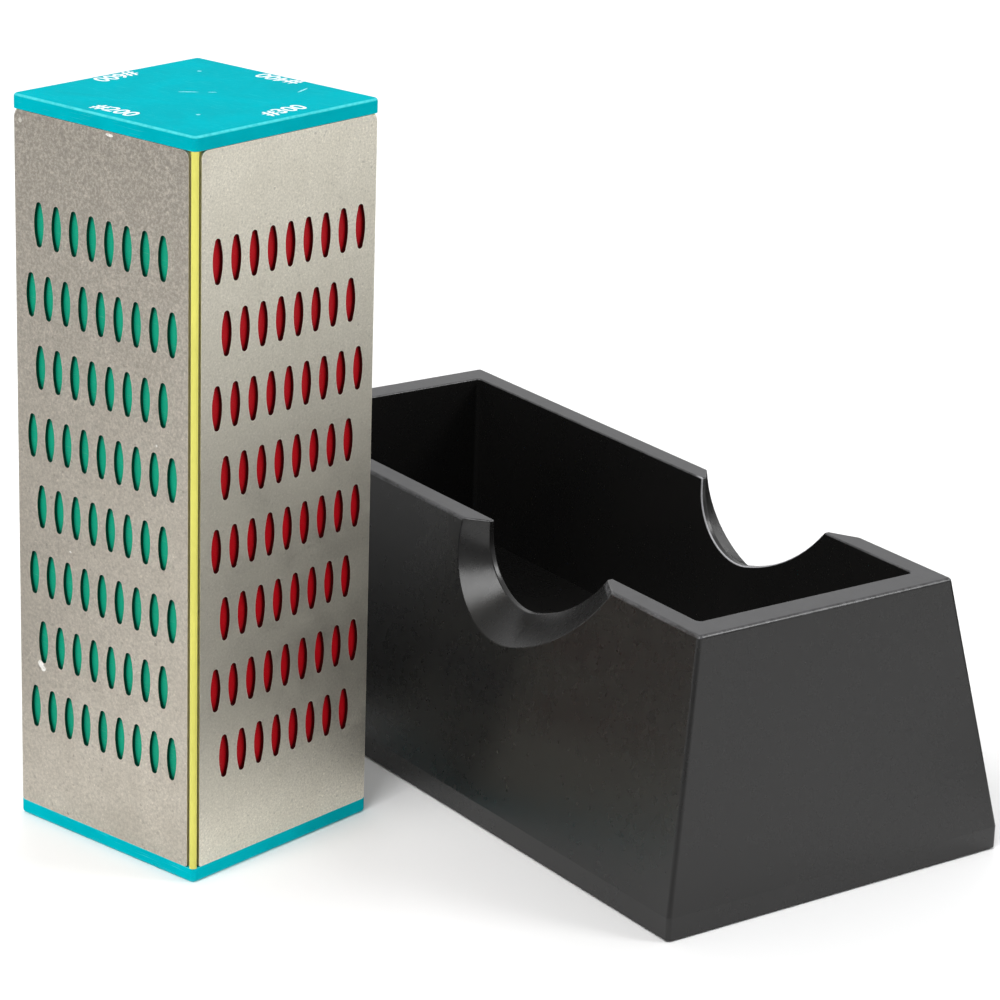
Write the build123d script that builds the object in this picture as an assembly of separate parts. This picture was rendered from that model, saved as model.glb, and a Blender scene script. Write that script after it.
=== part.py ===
"""Four-sided diamond sharpening block with its moulded holder tray.

Sizes are in millimetres. The set stands on the plane z = 0 with its origin at the centre of
its footprint: X runs along the tray, and the block stands beside the tray on the -Y side.
The block is modelled upright about its own axis, with its first face towards -Y, and the
tray about its own centre; both are then moved to where they stand.
"""
import os
from math import asin, atan2, cos, degrees, radians, sin

from build123d import *

# Where the two bodies stand
TRAY_Y = 38.0
BLOCK_X = -10.2
BLOCK_Y = -49.9
BLOCK_TURN = 14.19

# Block: outside sizes
BLOCK_SIDE = 50.0
BLOCK_HEIGHT = 150.0
CAP_THICKNESS = 3.0
CAP_CORNER_RADIUS = 1.1
CAP_RIM_RADIUS = 0.7
CAP_INNER_EDGE_RADIUS = 0.15

# Block: the layers of one side, from the outside inwards
PLATE_THICKNESS = 0.7
PANEL_THICKNESS = 2.0
TUBE_WALL = 2.2
WEB_THICKNESS = 2.0

# Block: corners
CORNER_POST = 2.5
BEAD_WIDTH = 1.0
BEAD_RADIUS = 0.8
BEAD_ROOT = 0.3
BEAD_GROOVE = 0.7
PANEL_CLEARANCE = 0.1

# Block: end cap spigots
SPIGOT_LENGTH = 6.0
SPIGOT_CLEARANCE = 0.2

# Diamond plates
PLATE_TOP_RADIUS = 1.6
PLATE_FOOT_RADIUS = 0.6
PLATE_END_GAP = 0.05
SLOT_ROWS = 8
SLOT_ROW_PITCH = 14.35
SLOTS_IN_LONG_ROW = 9
SLOT_PITCH = 4.88
SLOT_HEIGHT = 9.0
SLOT_WIDTH = 2.75
SLOT_TIP_WIDTH = 1.55

# Tray: outside
TRAY_HEIGHT = 58.3
PLINTH_TOP = 5.0
FOOT_DROP = 0.4
TRAY_BASE_LENGTH = 180.6
TRAY_BASE_WIDTH = 84.6
TRAY_RIM_LENGTH = 165.0
TRAY_RIM_WIDTH = 64.0
TRAY_CORNER_RADIUS = 0.9
TRAY_RIM_RADIUS = 0.8
TRAY_EDGE_RADIUS = 0.4

# Tray: pocket for the block lying on one side
POCKET_LENGTH = 152.0
POCKET_WIDTH = 54.2
POCKET_FLOOR_Z = 20.0
POCKET_CORNER_RADIUS = 1.0

# Tray: hollow underside
WALL = 2.5
RIB_THICKNESS = 2.0
RIB_COUNT = 5
RIB_PITCH = 30.0
HOLLOW_TOP_Z = 42.0
HOLLOW_TOP_AT_NOTCH_Z = 34.0

# Tray: finger notches, drawn from the rim down, along the tray's X
NOTCH_LAND = 1.3
NOTCH_OVERRUN = 1.7
NOTCH_SKIN = 0.3
NOTCH_INNER = {"left": 7.9, "depth": 15.5, "small_r": 12.9, "large_r": 48.3, "turn": -75.9}
NOTCH_OUTER = {"left": 3.0, "depth": 21.5, "small_r": 18.8, "large_r": 51.2, "turn": -74.3}

# Feet
FOOT_RADIUS = 5.0
FOOT_HEIGHT = 2.0
FOOT_INSET_X = 7.3
FOOT_INSET_Y = 7.7
BOSS_RADIUS = 6.6
BOSS_TOP_Z = 5.0
FOOT_CLEARANCE = 0.1

# Sizes worked out from the ones above
HALF_SIDE = BLOCK_SIDE / 2
PLATE_BACK = HALF_SIDE - PLATE_THICKNESS
TUBE_HALF = PLATE_BACK - PANEL_THICKNESS
CELL_HALF = TUBE_HALF - TUBE_WALL
BODY_LENGTH = BLOCK_HEIGHT - 2 * CAP_THICKNESS
BLOCK_MIDDLE = BLOCK_HEIGHT / 2
EPS = 0.5
TINY = 0.01

SIDES = ("green", "red", "blue", "yellow")
FEET = {"front_left": (-1, -1), "front_right": (1, -1), "rear_left": (-1, 1), "rear_right": (1, 1)}
CORNERS = tuple(FEET.values())
BEAD_CORNERS = ((1, -1), (-1, 1))


def block_core():
    """Square tube with a cross web, a post in each corner and a bead on two of the corners."""
    section = Rectangle(2 * TUBE_HALF, 2 * TUBE_HALF) - Rectangle(2 * CELL_HALF, 2 * CELL_HALF)
    section += Rectangle(2 * CELL_HALF, WEB_THICKNESS)
    section += Rectangle(WEB_THICKNESS, 2 * CELL_HALF)
    post_centre = PLATE_BACK - CORNER_POST / 2
    for x, y in CORNERS:
        section += Pos(x * post_centre, y * post_centre) * Rectangle(CORNER_POST, CORNER_POST)
    for x, y in BEAD_CORNERS:
        section += corner_bead(x, y)
    return extrude(Pos(0, 0, CAP_THICKNESS) * section, BODY_LENGTH)


def corner_bead(x, y):
    """Section of the rounded strip between two plates at the corner (x, y), and of its root."""
    square = Rectangle(BEAD_WIDTH, BEAD_WIDTH)
    outer_corner = square.vertices().sort_by(Axis((0, 0, 0), (1, 1, 0)))[-1]
    strip_centre = HALF_SIDE - BEAD_WIDTH / 2
    root_centre = PLATE_BACK + BEAD_ROOT - BEAD_WIDTH / 2
    bead = Pos(strip_centre, strip_centre) * fillet(outer_corner, BEAD_RADIUS)
    bead += Pos(root_centre, root_centre) * square
    return Rot(0, 0, degrees(atan2(y, x)) - 45) * bead


def side_panel():
    """Flat coloured panel that fills the recess between two corner posts."""
    width = 2 * (PLATE_BACK - CORNER_POST - PANEL_CLEARANCE)
    length = BODY_LENGTH - 2 * PANEL_CLEARANCE
    panel = Box(width, PANEL_THICKNESS, length)
    return Pos(0, -TUBE_HALF - PANEL_THICKNESS / 2, BLOCK_MIDDLE) * panel


def slot_outline():
    """Upright slot: two shallow arcs joined by narrow rounded tips."""
    half_height, half_width, half_tip = SLOT_HEIGHT / 2, SLOT_WIDTH / 2, SLOT_TIP_WIDTH / 2
    shoulder = half_height - half_tip
    right = ThreePointArc((half_tip, -shoulder), (half_width, 0), (half_tip, shoulder))
    top = ThreePointArc((half_tip, shoulder), (0, half_height), (-half_tip, shoulder))
    left = ThreePointArc((-half_tip, shoulder), (-half_width, 0), (-half_tip, -shoulder))
    bottom = ThreePointArc((-half_tip, -shoulder), (0, -half_height), (half_tip, -shoulder))
    return make_face([right, top, left, bottom])


def slot_centres():
    """Slot centres measured from the pattern's own middle, in staggered rows."""
    for row in range(SLOT_ROWS):
        height = (row - (SLOT_ROWS - 1) / 2) * SLOT_ROW_PITCH
        slots = SLOTS_IN_LONG_ROW - row % 2
        for slot in range(slots):
            yield (slot - (slots - 1) / 2) * SLOT_PITCH, height


def plate_outline(width):
    """Plate seen from outside, with wider curves at its top corners than at its foot."""
    sheet = Rectangle(width, BODY_LENGTH - 2 * PLATE_END_GAP)
    sheet = fillet(sheet.vertices().group_by(Axis.Y)[-1], PLATE_TOP_RADIUS)
    return fillet(sheet.vertices().group_by(Axis.Y)[0], PLATE_FOOT_RADIUS)


def diamond_plate(hand):
    """Perforated steel plate of the -Y face. Its edge stops short of the corner bead, which
    hand puts on +X with a long row of slots lowest (1), or on -X with a short one (-1)."""
    beaded_edge = HALF_SIDE - BEAD_WIDTH - BEAD_GROOVE
    slot = slot_outline()
    sheet = plate_outline(beaded_edge + PLATE_BACK)
    sheet -= [Pos(x, hand * z) * slot for x, z in slot_centres()]
    placed = Pos(hand * (beaded_edge - PLATE_BACK) / 2, BLOCK_MIDDLE) * sheet
    return extrude(Plane.XZ.offset(PLATE_BACK) * placed, PLATE_THICKNESS)


def end_cap():
    """Bottom cap: a square lid with four spigots that plug into the core's cells."""
    lid = Pos(0, 0, CAP_THICKNESS / 2) * Box(BLOCK_SIDE, BLOCK_SIDE, CAP_THICKNESS)
    lid = fillet(lid.edges().filter_by(Axis.Z), CAP_CORNER_RADIUS)
    lid = fillet(lid.faces().sort_by(Axis.Z)[0].edges(), CAP_RIM_RADIUS)
    lid = fillet(lid.faces().sort_by(Axis.Z)[-1].edges(), CAP_INNER_EDGE_RADIUS)
    cell = CELL_HALF - WEB_THICKNESS / 2
    centre = WEB_THICKNESS / 2 + cell / 2
    side = cell - 2 * SPIGOT_CLEARANCE
    spigot = Box(side, side, SPIGOT_LENGTH)
    for x, y in CORNERS:
        lid += Pos(x * centre, y * centre, CAP_THICKNESS + SPIGOT_LENGTH / 2) * spigot
    return lid


def tapered_hull(trim, bottom_z, top_z):
    """Solid inside the tray's sloped walls, moved in by trim on every side."""
    ends = []
    for z in (bottom_z, top_z):
        rise = (z - PLINTH_TOP) / (TRAY_HEIGHT - PLINTH_TOP)
        length = TRAY_BASE_LENGTH + (TRAY_RIM_LENGTH - TRAY_BASE_LENGTH) * rise - 2 * trim
        width = TRAY_BASE_WIDTH + (TRAY_RIM_WIDTH - TRAY_BASE_WIDTH) * rise - 2 * trim
        ends.append(Pos(0, 0, z) * RectangleRounded(length, width, TRAY_CORNER_RADIUS))
    return loft(ends, ruled=True)


def plinth(trim, bottom_z):
    """Upright band round the foot of the tray, trimmed like tapered_hull."""
    length, width = TRAY_BASE_LENGTH - 2 * trim, TRAY_BASE_WIDTH - 2 * trim
    band = Pos(0, 0, bottom_z) * RectangleRounded(length, width, TRAY_CORNER_RADIUS)
    return extrude(band, PLINTH_TOP - bottom_z)


def pocket(grow, floor_z):
    """The block's pocket, grown sideways by grow and open above the rim."""
    radius = POCKET_CORNER_RADIUS + grow
    opening = RectangleRounded(POCKET_LENGTH + 2 * grow, POCKET_WIDTH + 2 * grow, radius)
    return extrude(Pos(0, 0, floor_z) * opening, TRAY_HEIGHT - floor_z + EPS)


def notch_outline(left, depth, small_r, large_r, turn):
    """Finger notch seen from outside, with the rim at y = 0: an upright left side, a small
    arc round its foot and a larger tangent arc that climbs to the right."""
    small_centre = Vector(left + small_r, small_r - depth)
    toward_turn = Vector(cos(radians(turn)), sin(radians(turn)))
    large_centre = small_centre - toward_turn * (large_r - small_r)
    end_angle = degrees(asin((NOTCH_OVERRUN - large_centre.Y) / large_r))
    side_start = Vector(left, NOTCH_OVERRUN)
    side = Line(side_start, (left, small_centre.Y))
    foot = CenterArc(small_centre, small_r, 180, 180 + turn)
    climb = CenterArc(large_centre, large_r, turn, end_angle - turn)
    return make_face([side, foot, climb, Line(climb @ 1, side_start)])


def finger_notch():
    """Cutter for the notch in the -Y wall: a straight land, then a flare to the outer face."""
    land_y = -POCKET_WIDTH / 2 - NOTCH_LAND
    land_plane = Plane((0, land_y, TRAY_HEIGHT), x_dir=(1, 0, 0), z_dir=(0, -1, 0))
    spread = (TRAY_BASE_WIDTH - TRAY_RIM_WIDTH) / 2
    rise = TRAY_HEIGHT - PLINTH_TOP
    outward = Vector(0, -rise, spread).normalized()
    rim_edge = Vector(0, -TRAY_RIM_WIDTH / 2, TRAY_HEIGHT)
    wall_plane = Plane(rim_edge + outward * NOTCH_SKIN, x_dir=(1, 0, 0), z_dir=outward)
    inner = land_plane * notch_outline(**NOTCH_INNER)
    outer = wall_plane * notch_outline(**NOTCH_OUTER)
    land = extrude(inner, -NOTCH_LAND - EPS)
    return loft([inner, outer], ruled=True) + land


def underside_hollow():
    """Everything that the mould core removes from below, less the ribs and the foot bosses."""
    hollow = tapered_hull(WALL, PLINTH_TOP, HOLLOW_TOP_Z) + plinth(WALL, -EPS)
    hollow -= pocket(WALL, POCKET_FLOOR_Z - WALL)
    notch_centre = NOTCH_OUTER["left"] + NOTCH_OUTER["small_r"]
    guard_height = HOLLOW_TOP_Z - HOLLOW_TOP_AT_NOTCH_Z + EPS
    guard = Box(NOTCH_OUTER["large_r"] + 2 * WALL, TRAY_BASE_WIDTH, guard_height)
    hollow -= Pos(notch_centre + WALL, 0, HOLLOW_TOP_AT_NOTCH_Z + guard_height / 2) * guard
    return hollow - ribs() - foot_bosses()


def ribs():
    """Stiffening ribs that tie the pocket's walls to the sloped walls, above the floor's level."""
    bottom_z = POCKET_FLOOR_Z - WALL
    height = HOLLOW_TOP_Z - bottom_z
    middle = bottom_z + height / 2
    across = Box(RIB_THICKNESS, TRAY_BASE_WIDTH, height)
    along = Box(TRAY_BASE_LENGTH, RIB_THICKNESS, height)
    places = [(rib - (RIB_COUNT - 1) / 2) * RIB_PITCH for rib in range(RIB_COUNT)]
    return [Pos(x, 0, middle) * across for x in places] + [Pos(0, 0, middle) * along]


def foot_places():
    """Centre of each foot pad on the tray's own axes, by name."""
    x = TRAY_BASE_LENGTH / 2 - FOOT_INSET_X
    y = TRAY_BASE_WIDTH / 2 - FOOT_INSET_Y
    return {name: (side_x * x, side_y * y) for name, (side_x, side_y) in FEET.items()}


def foot_bosses():
    """Round bosses in the tray's corners that carry the foot pads."""
    height = BOSS_TOP_Z - FOOT_DROP
    boss = Cylinder(BOSS_RADIUS, height)
    return [Pos(x, y, FOOT_DROP + height / 2) * boss for x, y in foot_places().values()]


def is_softened(edge):
    """True for an edge of the pocket's mouth or of a finger notch. The rim's own rounded edge
    is left as it is, and so are the seams that cross a notch from its land to the outer wall."""
    box = edge.bounding_box()
    near, far = sorted((abs(box.min.Y), abs(box.max.Y)))
    if box.min.Z < TRAY_HEIGHT - NOTCH_OUTER["depth"]:
        return False
    if box.max.Z < TRAY_HEIGHT - TRAY_RIM_RADIUS:
        return near > POCKET_WIDTH / 2 + NOTCH_LAND + TINY or far - near < TINY
    outer_x = TRAY_RIM_LENGTH / 2 - 2 * TRAY_RIM_RADIUS
    outer_y = TRAY_RIM_WIDTH / 2 - 2 * TRAY_RIM_RADIUS
    on_rim = box.min.Z > TRAY_HEIGHT - TINY
    return not (on_rim and (near > outer_y or abs(box.max.X) > outer_x))


def holder_tray():
    """One hollow moulding: plinth, sloped walls, pocket, finger notches and foot recesses."""
    tray = tapered_hull(0, PLINTH_TOP, TRAY_HEIGHT) + plinth(0, FOOT_DROP)
    tray = fillet(tray.faces().sort_by(Axis.Z)[-1].edges(), TRAY_RIM_RADIUS)
    tray -= pocket(0, POCKET_FLOOR_Z)
    notch = finger_notch()
    tray -= [notch, mirror(notch, Plane.XZ)]
    tray = fillet([edge for edge in tray.edges() if is_softened(edge)], TRAY_EDGE_RADIUS)
    tray -= underside_hollow()
    recess = Cylinder(FOOT_RADIUS + FOOT_CLEARANCE, 2 * FOOT_HEIGHT)
    return tray - [Pos(x, y, 0) * recess for x, y in foot_places().values()]


def foot_pad():
    """Round rubber pad pressed into its recess, with a softened lower edge."""
    pad = Pos(0, 0, FOOT_HEIGHT / 2) * Cylinder(FOOT_RADIUS, FOOT_HEIGHT)
    return fillet(pad.edges().sort_by(Axis.Z)[0], FOOT_DROP / 2)


def block_pieces():
    """Every piece of the block by name, on the block's own axes."""
    cap, panel, plates = end_cap(), side_panel(), (diamond_plate(1), diamond_plate(-1))
    pieces = {"block_core": block_core(), "bottom_end_cap": cap}
    pieces["top_end_cap"] = Pos(0, 0, BLOCK_HEIGHT) * Rot(180, 0, 0) * cap
    for number, side in enumerate(SIDES):
        turn = Rot(0, 0, 90 * number)
        pieces[f"{side}_panel"] = turn * panel
        pieces[f"{side}_diamond_plate"] = turn * plates[number % 2]
    return pieces


def tray_pieces():
    """Every piece of the tray by name, on the tray's own axes."""
    pieces = {"holder_tray": holder_tray()}
    for name, (x, y) in foot_places().items():
        pieces[f"foot_pad_{name}"] = Pos(x, y, 0) * foot_pad()
    return pieces


def write(pieces, place):
    """Moves each piece to where the set stands and writes it to its own file."""
    for name, piece in pieces.items():
        export_step(place * piece, f"parts/{name}.step")


os.makedirs("parts", exist_ok=True)
write(block_pieces(), Pos(BLOCK_X, BLOCK_Y, 0) * Rot(0, 0, BLOCK_TURN))
write(tray_pieces(), Pos(0, TRAY_Y, 0))
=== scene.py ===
"""Looks of a four-sided diamond sharpening block and its holder tray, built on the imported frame.

Everything is in metres. The block's own axes are the row's axes turned about Z: its green plate
faces its -Y side, the red one +X, the blue one +Y and the yellow one -X.
"""
import math

import bmesh
import bpy
from mathutils import Matrix, Vector

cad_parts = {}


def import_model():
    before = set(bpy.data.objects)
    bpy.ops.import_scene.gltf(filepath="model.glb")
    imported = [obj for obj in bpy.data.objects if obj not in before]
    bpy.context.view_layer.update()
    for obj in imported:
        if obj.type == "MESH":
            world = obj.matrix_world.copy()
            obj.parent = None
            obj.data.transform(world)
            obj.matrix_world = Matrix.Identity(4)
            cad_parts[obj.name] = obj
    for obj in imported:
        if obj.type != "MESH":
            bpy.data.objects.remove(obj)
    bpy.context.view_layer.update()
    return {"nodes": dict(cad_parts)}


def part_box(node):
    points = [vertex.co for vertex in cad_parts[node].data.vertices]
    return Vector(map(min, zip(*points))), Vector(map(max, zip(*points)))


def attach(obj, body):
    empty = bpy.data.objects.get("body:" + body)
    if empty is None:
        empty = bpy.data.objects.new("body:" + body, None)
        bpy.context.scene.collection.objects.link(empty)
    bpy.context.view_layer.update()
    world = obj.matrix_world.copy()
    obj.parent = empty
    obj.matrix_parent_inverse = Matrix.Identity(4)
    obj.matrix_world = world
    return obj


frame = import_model()

MM = 0.001

# Camera: where it stands, where it looks, and its lens
CAMERA_PLACE = Vector((0.5711, -0.3921, 0.2990))
CAMERA_YAW = -0.9484
CAMERA_PITCH = 0.3289
CAMERA_ROLL = 0.0326
CAMERA_LENS = 128.05
CAMERA_SENSOR = 36.0
CAMERA_NEAR = 0.05
CAMERA_FAR = 20.0

# Print on the top cap: each side's grit number, and how far along and out from the middle it is
LABEL_SIZE = 5.1 * MM
LABEL_BOLD = 0.09 * MM
LABEL_DEPTH = 0.01 * MM
LABEL_WELD = 0.001 * MM
LABEL_PLACES = {
    "green": ("#200", -0.4 * MM, 21.0 * MM),
    "red": ("#300", 2.9 * MM, 20.6 * MM),
    "blue": ("#400", -0.3 * MM, 22.4 * MM),
    "yellow": ("#600", 0.2 * MM, 22.2 * MM),
}
SIDES = tuple(LABEL_PLACES)

# Cap colours, as moulded, and pale where scratched and where a highlight is painted on the rounded
# edges
TURQUOISE = (0.0, 0.385, 0.45)
PALE_TURQUOISE = (0.10, 0.70, 0.74)

# Marks on the top cap: x, y, angle in degrees, half length and half width
CAP_MARKS = (
    (-15.0 * MM, 15.6 * MM, 0, 0.45 * MM, 0.45 * MM),
    (12.4 * MM, -11.8 * MM, 0, 0.45 * MM, 0.45 * MM),
    (-2.9 * MM, 0.6 * MM, 45, 2.0 * MM, 0.25 * MM),
    (0.4 * MM, 3.9 * MM, 45, 0.9 * MM, 0.22 * MM),
    (10.7 * MM, 18.3 * MM, 108, 2.2 * MM, 0.26 * MM),
)
CAP_MARK_HEIGHT = 0.015 * MM

# Plates: how far out they lie, and the weld dimples in their corners
HALF_SIDE = 25.0 * MM
DIMPLE_OUT = 22.6 * MM
DIMPLE_Z = 145.0 * MM
DIMPLE_RADIUS = 0.5 * MM
DIMPLE_HEIGHT = 0.06 * MM

# Plates: where their slots end sideways, and heights between which painted shade darkens the top and
# the middle
SLOTS_END = 21.9 * MM
MARGIN_START = 22.3 * MM
TOP_SHADE_RISE = (70 * MM, 147 * MM)
MIDDLE_SHADE_RISE = (8 * MM, 34 * MM)
MIDDLE_SHADE_FALL = (142 * MM, 82 * MM)

# Chips on the green plate: x, z, half length, half width, and angle in degrees
PLATE_NICKS = (
    (-18.4 * MM, 34.2 * MM, 0.9 * MM, 0.75 * MM, 30),
    (-17.7 * MM, 33.4 * MM, 0.7 * MM, 0.55 * MM, -20),
    (2.2 * MM, 146.3 * MM, 1.0 * MM, 0.3 * MM, 4),
    (-9.5 * MM, 60.4 * MM, 0.3 * MM, 0.2 * MM, 10),
    (14.8 * MM, 88.1 * MM, 0.25 * MM, 0.25 * MM, 0),
)
PLATE_NICK_HEIGHT = 0.03 * MM

# Plates: each side's grit tones (pale, dark, and the dark tint of its slots' walls, painted shade with
# a painted reflection of the panel)
GRIT_TONES = {
    "green": ((0.69, 0.64, 0.56), (0.50, 0.46, 0.40), (0.008, 0.12, 0.08)),
    "red": ((0.88, 0.84, 0.73), (0.65, 0.62, 0.53), (0.12, 0.012, 0.014)),
    "blue": ((0.70, 0.68, 0.60), (0.56, 0.53, 0.46), (0.012, 0.03, 0.12)),
    "yellow": ((0.72, 0.70, 0.63), (0.60, 0.57, 0.50), (0.12, 0.11, 0.03)),
}

# Tray: the far finger notch's middle, reach to either side and foot, and the pocket's far wall
NOTCH_X = 26.0 * MM
NOTCH_REACH = 18.5 * MM
NOTCH_FOOT_Z = 42.0 * MM
POCKET_FAR_Y = 62.0 * MM

# Tray: heights above which its flat faces and its rounded edges belong to the rim
RIM_FACES_Z = 50.0 * MM
RIM_EDGES_Z = 57.2 * MM

# Tray: black as moulded, greyed by scuffing, and painted grey and pale as highlights on its rounded
# edges and far lip
TRAY_BLACKS = ((0.0078, 0.0076, 0.0074), (0.0096, 0.0092, 0.0088))
SCUFFED_BLACK = (0.075, 0.075, 0.080)
EDGE_HIGHLIGHT_GREY = (0.11, 0.11, 0.115)
LIP_HIGHLIGHT_PALE = (0.50, 0.50, 0.52)

# Studio: lamps as place, size, power and target
LAMPS = {
    "key_softbox": ((0.45, -1.08, 1.37), 1.0, 23, (0, 0, 0.05)),
    "rim_softbox": ((1.0, 1.0, 1.15), 0.5, 8.5, (0, 0, 0.05)),
    "far_softbox": ((-1.9, 1.3, 1.4), 1.2, 26, (-1.6, 1.1, 0)),
}
FLOOR_HALF_SIZE = 4.0

# Studio: black cards on the floor as x, y, length and width
FLAGS = {
    "near_flag": (-0.27, -0.13, 0.46, 0.30),
    "far_flag": (-0.55, -0.95, 0.87, 0.54),
    "rear_flag": (-0.12, 0.36, 0.60, 0.50),
}
FLAG_Z = 0.001

# Studio: the sky is brightest on this side and dims to a share of that opposite and low down
BACKDROP_SIDE = (-0.63, 0.78, 0.0)
OPPOSITE_SHARE = 0.26
HORIZON_SHARE = 0.45


def block_place():
    """Centre of the block's foot, and how far the block is turned about Z."""
    low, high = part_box("block_core")
    centre = (low + high) / 2
    low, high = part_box("red_panel")
    toward_red = (low + high) / 2 - centre
    return Vector((centre.x, centre.y, 0)), math.atan2(toward_red.y, toward_red.x)


BLOCK_FOOT, BLOCK_TURN = block_place()
BLOCK_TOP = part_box("top_end_cap")[1].z
BLOCK_AXES = Matrix.Translation(BLOCK_FOOT) @ Matrix.Rotation(BLOCK_TURN, 4, "Z")


class Nodes:
    """Builds a node tree; each method returns the socket of the last node that it adds."""

    def __init__(self, tree):
        self.tree = tree
        self.tree.nodes.clear()

    def add(self, kind, inputs, output=0, **settings):
        node = self.tree.nodes.new("ShaderNode" + kind)
        for key, value in settings.items():
            setattr(node, key, value)
        for key, value in inputs.items():
            if isinstance(value, bpy.types.NodeSocket):
                self.tree.links.new(value, node.inputs[key])
            else:
                node.inputs[key].default_value = value
        return node.outputs[output] if node.outputs else None

    def math(self, operation, first, second=0.0):
        return self.add("Math", {0: first, 1: second}, operation=operation)

    def times(self, first, second):
        return self.math("MULTIPLY", first, second)

    def part(self, vector, axis):
        return self.add("SeparateXYZ", {0: vector}, axis)

    def dot(self, first, second):
        return self.add("VectorMath", {0: first, 1: second}, "Value", operation="DOT_PRODUCT")

    def remap(self, value, low, high, to_low=0.0, to_high=1.0):
        inputs = {"Value": value, "From Min": low, "From Max": high}
        inputs.update({"To Min": to_low, "To Max": to_high})
        return self.add("MapRange", inputs)


class Shader(Nodes):
    """Builds one material."""

    def __init__(self, name):
        self.material = bpy.data.materials.new(name)
        self.material.use_nodes = True
        super().__init__(self.material.node_tree)

    def place(self):
        return self.add("TexCoord", {}, "Object")

    def normal(self):
        return self.add("TexCoord", {}, "Normal")

    def block_place(self):
        inputs = {"Vector": self.place(), "Location": BLOCK_FOOT, "Rotation": (0, 0, BLOCK_TURN)}
        return self.add("Mapping", inputs, vector_type="TEXTURE")

    def stretched(self, place, scale, turn=(0, 0, 0)):
        inputs = {"Vector": place, "Scale": scale, "Rotation": turn}
        return self.add("Mapping", inputs, vector_type="POINT")

    def noise(self, place, size, detail=2.0, roughness=0.5, distortion=0.0):
        inputs = {"Vector": place, "Scale": 1 / size, "Detail": detail}
        inputs.update({"Roughness": roughness, "Distortion": distortion})
        return self.add("TexNoise", inputs)

    def cells(self, place, size):
        return self.add("TexVoronoi", {"Vector": place, "Scale": 1 / size}, "Color")

    def mix(self, factor, first, second):
        inputs = {0: factor, 6: rgba(first), 7: rgba(second)}
        return self.add("Mix", inputs, 2, data_type="RGBA")

    def bump(self, height, distance, strength=1.0, under=None):
        inputs = {"Height": height, "Distance": distance, "Strength": strength}
        if under is not None:
            inputs["Normal"] = under
        return self.add("Bump", inputs)

    def facing(self, side):
        """1 on surfaces that look out of that side of the block, 0 on walls that run inwards."""
        angle = BLOCK_TURN + math.radians(90 * SIDES.index(side))
        outward = (math.sin(angle), -math.cos(angle), 0)
        return self.remap(self.dot(self.normal(), outward), 0.5, 0.8)

    def outer_edge(self, place, side):
        """1 beside the plate's long edges, 0 where the slots are."""
        angle = math.radians(90 * SIDES.index(side))
        offset = self.dot(place, (math.cos(angle), math.sin(angle), 0))
        return self.remap(self.math("ABSOLUTE", offset), SLOTS_END, MARGIN_START)

    def edges(self, radius):
        """1 on an edge that a finger would feel, falling to 0 at about radius from it."""
        rounded = self.add("Bevel", {"Radius": radius}, samples=4)
        flat = self.add("NewGeometry", {}, "Normal")
        return self.remap(self.dot(rounded, flat), 0.995, 0.85)

    def corners(self, reach):
        """1 deep in a corner, where shade is painted; 0 on open surfaces."""
        openness = self.add("AmbientOcclusion", {"Distance": reach}, "AO", samples=6)
        return self.remap(openness, 0.90, 0.42)

    def above(self, place, height):
        """1 above a height over the bench, 0 below it."""
        return self.remap(self.part(place, "Z"), height - 0.5 * MM, height)

    def far_lip_highlight(self, place):
        """1 on the rounded edge between the far finger notch and the pocket, where a highlight is
        painted; 0 elsewhere.
        """
        lean = self.part(self.normal(), "Y")
        lip = self.times(self.remap(lean, -0.95, -0.75), self.remap(lean, -0.05, -0.25))
        along = self.math("ABSOLUTE", self.math("SUBTRACT", self.part(place, "X"), NOTCH_X))
        inside = self.remap(along, NOTCH_REACH + 2 * MM, NOTCH_REACH)
        inside = self.times(inside, self.above(place, NOTCH_FOOT_Z))
        far = self.remap(self.part(place, "Y"), POCKET_FAR_Y - 6 * MM, POCKET_FAR_Y)
        return self.times(lip, self.times(inside, far))

    def rounded_edges(self):
        """1 on the rounded edges between a lid's flat top and its sides, seen by their slope."""
        slope = self.math("ABSOLUTE", self.part(self.normal(), "Z"))
        return self.times(self.remap(slope, 0.2, 0.5), self.remap(slope, 0.97, 0.8))

    def scratches(self, place, turn, width, length, rarity):
        """Thin straight marks that run along the turned X axis."""
        turned = self.stretched(place, (width / length, 1, 1), (0, 0, turn))
        marks = self.noise(turned, width, 1.0, 0.4)
        return self.remap(marks, rarity, rarity + 0.05)

    def varied(self, first, second, low, high):
        """A value from low to high that follows the sum of two noises."""
        return self.remap(self.math("ADD", first, second), 0.7, 1.3, low, high)

    def surface(self, **inputs):
        named = {key.replace("_", " "): value for key, value in inputs.items()}
        shader = self.add("BsdfPrincipled", named)
        self.add("OutputMaterial", {"Surface": shader})
        return self.material


def rgba(colour):
    """A colour with its alpha, or the socket that stands for one."""
    return colour if isinstance(colour, bpy.types.NodeSocket) else (*colour, 1.0)


def scaled(colour, factor):
    return tuple(channel * factor for channel in colour)


def grit_colour(s, place, speck, tone, dark, grit):
    """Mottled grit with bright crystals, dark pits, blotches and drag marks up the plate."""
    sparkle = s.cells(place, grit * 0.55)
    pits = s.cells(s.stretched(place, (1, 1, 1), (0.4, 0.7, 0.2)), grit * 0.8)
    drag = s.noise(s.stretched(place, (1, 1, 0.05)), 1.2 * MM, 3.0, 0.6)
    blotch = s.noise(place, 9 * MM, 4.0, 0.6)
    colour = s.mix(s.remap(speck, 0.38, 0.62), dark, tone)
    colour = s.mix(s.remap(sparkle, 0.80, 0.98, 0, 0.42), colour, scaled(tone, 1.45))
    colour = s.mix(s.remap(pits, 0.84, 0.98, 0, 0.50), colour, scaled(dark, 0.5))
    colour = s.mix(s.remap(blotch, 0.35, 0.75, 0, 0.30), colour, scaled(dark, 0.95))
    colour = s.mix(s.remap(drag, 0.45, 0.75, 0, 0.16), colour, scaled(tone, 0.72))
    return colour, sparkle, blotch


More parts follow.
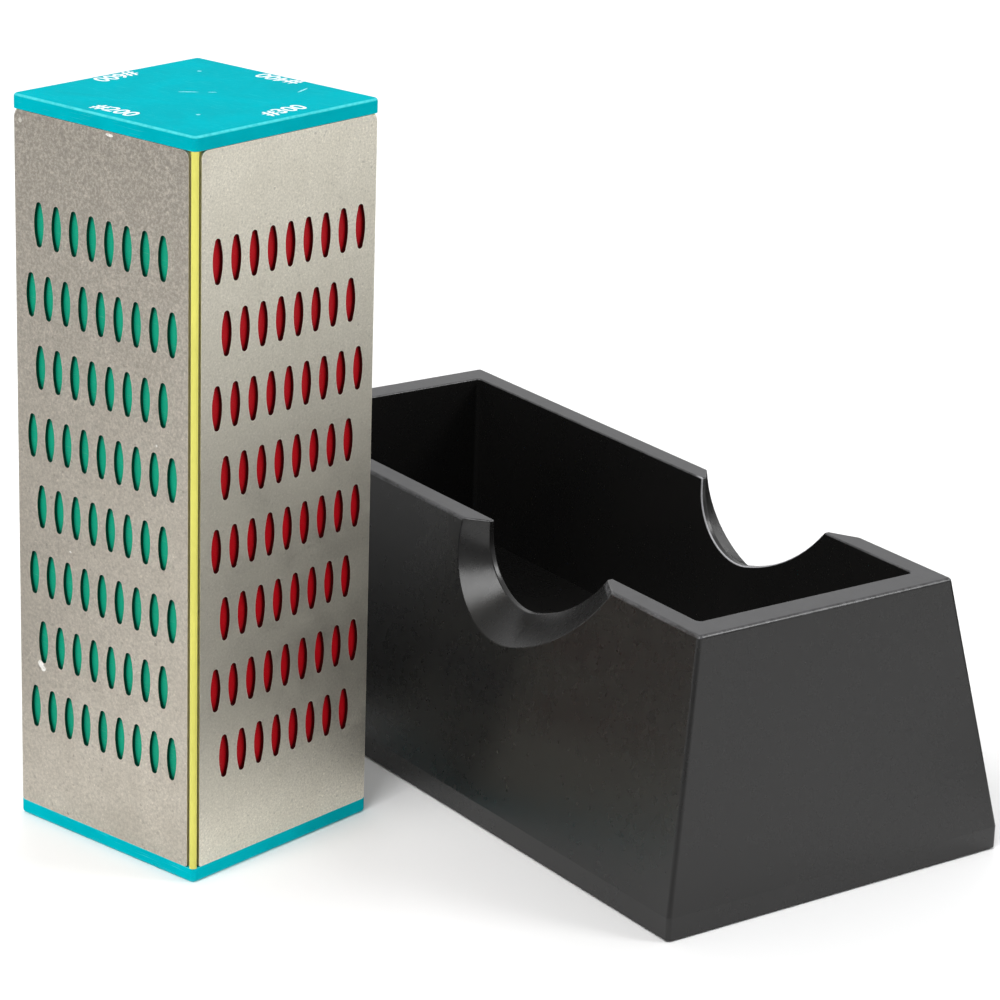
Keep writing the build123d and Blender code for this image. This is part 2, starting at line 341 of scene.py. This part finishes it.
def diamond_finish(name, side, grit, rough, top_shade=0.0, middle_shade=0.0):
    """Diamond grit set in nickel on a steel plate: mottled, sparkling, worn on its edges and lightened
    there by a painted highlight.
    The punched walls of the slots are painted dark in the panel's own colour, as painted shade with a
    painted reflection of the panel. Painted shade darkens the plate towards its top and in its middle."""
    tone, dark, wall_tint = GRIT_TONES[side]
    s = Shader(name)
    place = s.block_place()
    speck = s.noise(place, grit, 4.0, 0.8)
    colour, sparkle, blotch = grit_colour(s, place, speck, tone, dark, grit)
    height = s.part(place, "Z")
    # Painted shade: the plate is darkened towards its top.
    top_shaded = s.times(s.remap(height, *TOP_SHADE_RISE), s.remap(speck, 0.66, 0.40, 0.1, 1))
    colour = s.mix(s.times(top_shaded, top_shade), colour, scaled(dark, 0.6))
    # Painted shade: the plate is darkened in its middle.
    middle = s.times(s.remap(height, *MIDDLE_SHADE_RISE), s.remap(height, *MIDDLE_SHADE_FALL))
    colour = s.mix(s.times(middle, middle_shade), colour, scaled(dark, 0.6))
    # Edges lighter: partly wear, partly a painted highlight.
    colour = s.mix(s.times(s.edges(0.30 * MM), 0.5), colour, scaled(tone, 1.3))
    # Painted shade and a painted reflection of the panel: the slot walls are dark, tinted in the
    # panel's colour.
    inner = s.mix(speck, scaled(wall_tint, 0.6), wall_tint)
    rim = s.mix(speck, scaled(dark, 0.9), tone)
    wall = s.mix(s.outer_edge(place, side), inner, rim)
    colour = s.mix(s.facing(side), wall, colour)
    roughness = s.varied(speck, blotch, rough - 0.07, rough + 0.09)
    normal = s.bump(sparkle, 0.03 * MM, 0.4, s.bump(speck, 0.08 * MM, 0.6))
    return s.surface(Base_Color=colour, Metallic=1.0, Roughness=roughness, Normal=normal)


def moulded_finish(name, tone, gloss=0.2, corner_shade=0.2):
    """Moulded plastic: faint flow marks, a spark-eroded grain, edges lightened by wear and a painted
    highlight, light scratches and painted shade in its creases and recesses, which darkens the tone by
    the factor given."""
    wear = 0.25
    s = Shader(name)
    place = s.block_place()
    flow = s.noise(place, 22 * MM, 3.0, 0.55, 0.6)
    mottle = s.noise(place, 1.6 * MM, 3.0, 0.6)
    texture = s.noise(place, 0.25 * MM, 2.0, 0.6)
    marks = s.scratches(place, 0.7, 0.10 * MM, 7 * MM, 0.70)
    marks = s.math("MAXIMUM", marks, s.scratches(place, -0.5, 0.08 * MM, 5 * MM, 0.71))
    lighter = tuple(channel + (1 - channel) * 0.22 for channel in tone)
    colour = s.mix(s.remap(flow, 0.3, 0.7), scaled(tone, 0.92), scaled(tone, 1.06))
    colour = s.mix(s.remap(mottle, 0.35, 0.75, 0, 0.22), colour, scaled(tone, 0.86))
    colour = s.mix(s.times(marks, wear), colour, lighter)
    # Edges lighter: partly wear, partly a painted highlight.
    colour = s.mix(s.times(s.edges(0.35 * MM), wear), colour, lighter)
    # Painted shade: the tone is darkened in creases and recesses by the factor given.
    colour = s.mix(s.corners(1.4 * MM), colour, scaled(tone, corner_shade))
    roughness = s.math("ADD", s.varied(mottle, flow, 0.33, 0.47), s.times(marks, 0.12))
    normal = s.bump(marks, -0.01 * MM, 0.3, s.bump(texture, 0.012 * MM, 0.35))
    inputs = {"Specular_IOR_Level": gloss, "Roughness": roughness, "Normal": normal}
    return s.surface(Base_Color=colour, **inputs)


def tray_finish(name):
    """Smooth black satin plastic, scuffed grey on its rims, with a grey highlight painted along its
    rounded edges and a pale one on the far notch's lip.
    """
    s = Shader(name)
    place = s.place()
    flow = s.noise(place, 30 * MM, 3.0, 0.55, 0.6)
    mottle = s.noise(place, 2.2 * MM, 2.0, 0.5)
    texture = s.noise(place, 0.25 * MM, 2.0, 0.6)
    scuffs = s.noise(s.stretched(place, (0.25, 1, 1)), 1.1 * MM, 5.0, 0.75)
    rise = s.part(s.normal(), "Z")
    on_rim = s.times(s.remap(rise, 0.9, 0.98), s.above(place, RIM_FACES_Z))
    on_edge = s.times(s.remap(rise, 0.30, 0.45), s.remap(rise, 0.98, 0.85))
    on_edge = s.times(on_edge, s.above(place, RIM_EDGES_Z))
    worn = s.times(on_rim, s.remap(scuffs, 0.38, 0.68, 0.2, 0.8))
    # Painted highlight: the rounded rim edges are made grey.
    edge_highlight = s.times(on_edge, s.remap(scuffs, 0.35, 0.62, 0.1, 0.8))
    colour = s.mix(s.remap(flow, 0.3, 0.7), *TRAY_BLACKS)
    colour = s.mix(worn, colour, SCUFFED_BLACK)
    colour = s.mix(edge_highlight, colour, EDGE_HIGHLIGHT_GREY)
    # Painted highlight: a pale line along the far notch's rounded lip.
    colour = s.mix(s.times(s.far_lip_highlight(place), 0.8), colour, LIP_HIGHLIGHT_PALE)
    roughness = s.math("ADD", s.varied(mottle, flow, 0.26, 0.30), s.times(worn, 0.25))
    normal = s.bump(texture, 0.012 * MM, 0.05)
    inputs = {"Specular_IOR_Level": 0.45, "Roughness": roughness, "Normal": normal}
    return s.surface(Base_Color=colour, **inputs)


def cap_finish(name, tone, wear):
    """Turquoise moulding, scratched pale, with a pale highlight painted along its rounded edges."""
    s = Shader(name)
    place = s.block_place()
    flow = s.noise(place, 14 * MM, 3.0, 0.55, 0.8)
    mottle = s.noise(place, 1.2 * MM, 3.0, 0.6)
    texture = s.noise(place, 0.25 * MM, 2.0, 0.6)
    marks = s.scratches(place, 0.7, 0.10 * MM, 7 * MM, 0.69)
    marks = s.math("MAXIMUM", marks, s.scratches(place, -0.9, 0.12 * MM, 9 * MM, 0.71))
    # Painted highlight: the rounded edges of the cap are made pale.
    edge_highlight = s.times(s.rounded_edges(), s.remap(mottle, 0.3, 0.6, 0.45, 0.85))
    colour = s.mix(s.remap(flow, 0.3, 0.7), scaled(tone, 0.90), scaled(tone, 1.05))
    colour = s.mix(s.remap(mottle, 0.35, 0.75, 0, 0.20), colour, scaled(tone, 0.86))
    colour = s.mix(s.times(marks, wear), colour, PALE_TURQUOISE)
    colour = s.mix(edge_highlight, colour, PALE_TURQUOISE)
    roughness = s.varied(mottle, flow, 0.30, 0.46)
    normal = s.bump(marks, -0.01 * MM, 0.3, s.bump(texture, 0.012 * MM, 0.35))
    inputs = {"Specular_IOR_Level": 0.001, "Roughness": roughness, "Normal": normal}
    return s.surface(Base_Color=colour, **inputs)


def rubber_finish(name):
    """Dull black rubber with dust in its pores."""
    s = Shader(name)
    place = s.place()
    pores = s.noise(place, 0.3 * MM, 3.0, 0.7)
    dust = s.noise(place, 2.5 * MM, 4.0, 0.65)
    colour = s.mix(s.remap(dust, 0.4, 0.7), (0.018, 0.018, 0.019), (0.045, 0.043, 0.040))
    roughness = s.remap(pores, 0.3, 0.7, 0.70, 0.92)
    return s.surface(Base_Color=colour, Roughness=roughness, Normal=s.bump(pores, 0.03 * MM))


def print_finish(name):
    """White pad print, thin and rubbed away in places."""
    s = Shader(name)
    rub = s.noise(s.place(), 0.5 * MM, 3.0, 0.7)
    colour = s.mix(s.remap(rub, 0.52, 0.70), (0.82, 0.86, 0.86), (0.30, 0.66, 0.70))
    roughness = s.remap(rub, 0.3, 0.7, 0.40, 0.60)
    return s.surface(Base_Color=colour, Roughness=roughness, Normal=s.bump(rub, 0.01 * MM, 0.4))


def mark_finish(name):
    """Smooth turquoise where the mould's pins and gate left their marks."""
    s = Shader(name)
    ring = s.noise(s.place(), 0.2 * MM)
    colour = s.mix(ring, (0.08, 0.62, 0.70), (0.16, 0.74, 0.80))
    return s.surface(Base_Color=colour, Roughness=s.remap(ring, 0.3, 0.7, 0.20, 0.34))


def weld_finish(name):
    """Bright nickel, drawn in where a spot weld cooled."""
    s = Shader(name)
    grain = s.noise(s.place(), 0.15 * MM, 3.0, 0.7)
    colour = s.mix(grain, (0.55, 0.51, 0.45), (0.80, 0.77, 0.70))
    normal = s.bump(grain, 0.02 * MM, 0.4)
    return s.surface(Base_Color=colour, Metallic=1.0, Roughness=0.42, Normal=normal)


def chip_finish(name):
    """Pale crumbs of the adhesive under the grit, where the plating has chipped."""
    s = Shader(name)
    crumbs = s.noise(s.place(), 0.4 * MM, 3.0, 0.7)
    colour = s.mix(s.remap(crumbs, 0.3, 0.6), (0.50, 0.47, 0.42), (0.86, 0.84, 0.80))
    roughness = s.remap(crumbs, 0.3, 0.7, 0.5, 0.8)
    return s.surface(Base_Color=colour, Roughness=roughness, Normal=s.bump(crumbs, 0.05 * MM))


def card_finish(name):
    """Black cloth on a card of unit size, thinning out at its edges."""
    s = Shader(name)
    place = s.place()
    fibre = s.noise(place, 1.0 * MM)
    colour = s.mix(fibre, (0.004, 0.004, 0.004), (0.006, 0.006, 0.006))
    offsets = [s.math("ABSOLUTE", s.part(place, axis)) for axis in "XY"]
    cover = s.times(*(s.remap(offset, 0.5, 0.42) for offset in offsets))
    return s.surface(Base_Color=colour, Roughness=1.0, Specular_IOR_Level=0.0, Alpha=cover)


def floor_finish(name):
    """Pale matte paper."""
    s = Shader(name)
    place = s.place()
    cloud = s.noise(place, 0.4)
    fibre = s.noise(place, 0.6 * MM, 2.0, 0.6)
    colour = s.mix(cloud, (0.89, 0.89, 0.89), (0.91, 0.91, 0.91))
    normal = s.bump(fibre, 0.02 * MM, 0.2)
    return s.surface(Base_Color=colour, Roughness=0.9, Specular_IOR_Level=0.0, Normal=normal)


FINISHES = {
    "green_diamond_plate": diamond_finish("grit_200", "green", 0.60 * MM, 0.58, top_shade=0.74),
    "red_diamond_plate": diamond_finish("grit_300", "red", 0.48 * MM, 0.50, middle_shade=0.56),
    "blue_diamond_plate": diamond_finish("grit_400", "blue", 0.40 * MM, 0.46),
    "yellow_diamond_plate": diamond_finish("grit_600", "yellow", 0.34 * MM, 0.44),
    "green_panel": moulded_finish("green_plastic", (0.002, 0.32, 0.19), gloss=0.1),
    "red_panel": moulded_finish("red_plastic", (0.42, 0.002, 0.007), gloss=0.1),
    "blue_panel": moulded_finish("blue_plastic", (0.012, 0.10, 0.46)),
    "yellow_panel": moulded_finish("yellow_plastic", (0.78, 0.74, 0.12)),
    "block_core": moulded_finish("core_yellow", (0.70, 0.67, 0.14), corner_shade=0.5),
    "top_end_cap": cap_finish("cap_turquoise", TURQUOISE, 0.30),
    # Painted light: the foot cap takes the top cap's turquoise made 1.22 times lighter.
    "bottom_end_cap": cap_finish("foot_cap_turquoise_painted_light", scaled(TURQUOISE, 1.22), 0.45),
    "holder_tray": tray_finish("tray_black"),
}
RUBBER = rubber_finish("foot_rubber")


def paint(piece, material):
    """Gives every face of a piece the same material."""
    piece.data.materials.clear()
    piece.data.materials.append(material)
    return piece


def paint_frame():
    for name, piece in frame["nodes"].items():
        paint(piece, FINISHES.get(name, RUBBER))


def in_scene(name, data):
    """Puts a mesh, lamp or camera into the scene under the given name."""
    item = bpy.data.objects.new(name, data)
    bpy.context.scene.collection.objects.link(item)
    return item


def block_piece(name, mesh, material, matrix=Matrix.Identity(4)):
    """A mesh set in place by matrix on the block's own axes, as a piece that rides on the block."""
    mesh.transform(BLOCK_AXES @ matrix)
    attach(paint(in_scene(name, mesh), material), "block")


def finished_mesh(name, form):
    """Turns an edited form into a smooth mesh."""
    mesh = bpy.data.meshes.new(name)
    form.to_mesh(mesh)
    form.free()
    mesh.shade_smooth()
    return mesh


def bumps(name, matrices):
    """One ball of unit radius under each matrix, as one mesh."""
    form = bmesh.new()
    for matrix in matrices:
        bmesh.ops.create_uvsphere(form, u_segments=20, v_segments=10, radius=1, matrix=matrix)
    return finished_mesh(name, form)


def sheet(name, half_size, cells):
    """Flat square, divided into cells along each side."""
    form = bmesh.new()
    bmesh.ops.create_grid(form, x_segments=cells, y_segments=cells, size=half_size)
    return finished_mesh(name, form)


def text_mesh(text):
    """Flat raised characters, centred on their own origin."""
    curve = bpy.data.curves.new("label", "FONT")
    curve.body = text
    curve.size = LABEL_SIZE
    curve.align_x = "CENTER"
    curve.align_y = "CENTER"
    curve.extrude = LABEL_DEPTH / 2
    curve.offset = LABEL_BOLD
    holder = bpy.data.objects.new("label", curve)
    mesh = bpy.data.meshes.new_from_object(holder)
    bpy.data.objects.remove(holder)
    form = bmesh.new()
    form.from_mesh(mesh)
    bmesh.ops.remove_doubles(form, verts=form.verts, dist=LABEL_WELD)
    form.to_mesh(mesh)
    form.free()
    return mesh


def turned(degrees, axis="Z"):
    return Matrix.Rotation(math.radians(degrees), 4, axis)


def cap_labels():
    """A grit number beside each edge of the top cap, read from its own side."""
    material = print_finish("white_print")
    for number, (side, (text, along, out)) in enumerate(LABEL_PLACES.items()):
        spot = Matrix.Translation((along, -out, BLOCK_TOP + LABEL_DEPTH / 2))
        block_piece(f"{side}_grit_label", text_mesh(text), material, turned(90 * number) @ spot)


def cap_marks():
    """Ejector marks, flow bars and a scrape on the top cap, as low pale ridges."""
    shapes = []
    for x, y, angle, length, width in CAP_MARKS:
        shape = turned(angle) @ Matrix.Diagonal((length, width, CAP_MARK_HEIGHT, 1))
        shapes.append(Matrix.Translation((x, y, BLOCK_TOP)) @ shape)
    block_piece("cap_marks", bumps("cap_marks", shapes), mark_finish("polished_turquoise"))


def plate_nicks():
    """Chips on the green plate where the grit has come away."""
    shapes = []
    for x, z, length, width, angle in PLATE_NICKS:
        shape = turned(angle, "Y") @ Matrix.Diagonal((length, PLATE_NICK_HEIGHT, width, 1))
        shapes.append(Matrix.Translation((x, -HALF_SIDE, z)) @ shape)
    block_piece("plate_nicks", bumps("plate_nicks", shapes), chip_finish("chipped_grit"))


def plate_dimples():
    """A small weld dimple near one top corner of each plate."""
    spot = Matrix.Translation((-DIMPLE_OUT, -HALF_SIDE, DIMPLE_Z))
    shape = spot @ Matrix.Diagonal((DIMPLE_RADIUS, DIMPLE_HEIGHT, DIMPLE_RADIUS, 1))
    shapes = [turned(90 * number) @ shape for number in range(len(SIDES))]
    block_piece("plate_dimples", bumps("plate_dimples", shapes), weld_finish("weld_nickel"))


def looking(place, target):
    """Matrix of something at place that looks at target along its own -Z."""
    toward = Vector(target) - Vector(place)
    return Matrix.Translation(place) @ toward.to_track_quat("-Z", "Y").to_matrix().to_4x4()


def softbox(name, place, size, power, target):
    light = bpy.data.lights.new(name, "AREA")
    light.size = size
    light.energy = power
    lamp = in_scene(name, light)
    lamp.matrix_world = looking(place, target)
    return lamp


def softboxes():
    """The lamps; the far one only brightens the floor behind the set, and isn't reflected."""
    lamps = {name: softbox(name, *setting) for name, setting in LAMPS.items()}
    lamps["far_softbox"].visible_glossy = False


def floor():
    piece = in_scene("floor", sheet("floor", FLOOR_HALF_SIZE, 4))
    paint(piece, floor_finish("pale_floor"))


def world():
    """White sky that dims away from the backdrop and towards the horizon."""
    sky = bpy.data.worlds.new("studio")
    sky.use_nodes = True
    s = Nodes(sky.node_tree)
    where = s.add("TexCoord", {}, "Generated")
    fade = s.remap(s.dot(where, BACKDROP_SIDE), -0.6, 0.6, OPPOSITE_SHARE, 1.0)
    rise = s.remap(s.part(where, "Z"), 0.03, 0.26, HORIZON_SHARE, 1.0)
    light = s.add("Background", {"Color": (1, 1, 1, 1), "Strength": s.times(fade, rise)})
    s.add("OutputWorld", {"Surface": light})
    bpy.context.scene.world = sky


def flags():
    """Black cards on the floor that show only as dark reflections in the tray and the plates."""
    material = card_finish("black_card")
    for name, (x, y, length, width) in FLAGS.items():
        card = paint(in_scene(name, sheet(name, 0.5, 1)), material)
        card.matrix_world = Matrix.Translation((x, y, FLAG_Z)) @ Matrix.Diagonal((length, width, 1, 1))
        card.visible_camera = False
        card.visible_diffuse = False
        card.visible_shadow = False


def camera():
    data = bpy.data.cameras.new("camera")
    data.lens = CAMERA_LENS
    data.sensor_width = CAMERA_SENSOR
    data.clip_start = CAMERA_NEAR
    data.clip_end = CAMERA_FAR
    turn = Matrix.Rotation(-CAMERA_YAW, 4, "Z")
    turn @= Matrix.Rotation(math.pi / 2 - CAMERA_PITCH, 4, "X")
    turn @= Matrix.Rotation(CAMERA_ROLL, 4, "Z")
    holder = in_scene("camera", data)
    holder.matrix_world = Matrix.Translation(CAMERA_PLACE) @ turn
    bpy.context.scene.camera = holder


def studio():
    bpy.context.scene.view_settings.view_transform = "Standard"
    world()
    floor()
    flags()
    softboxes()
    camera()


paint_frame()
cap_labels()
cap_marks()
plate_dimples()
plate_nicks()
studio()
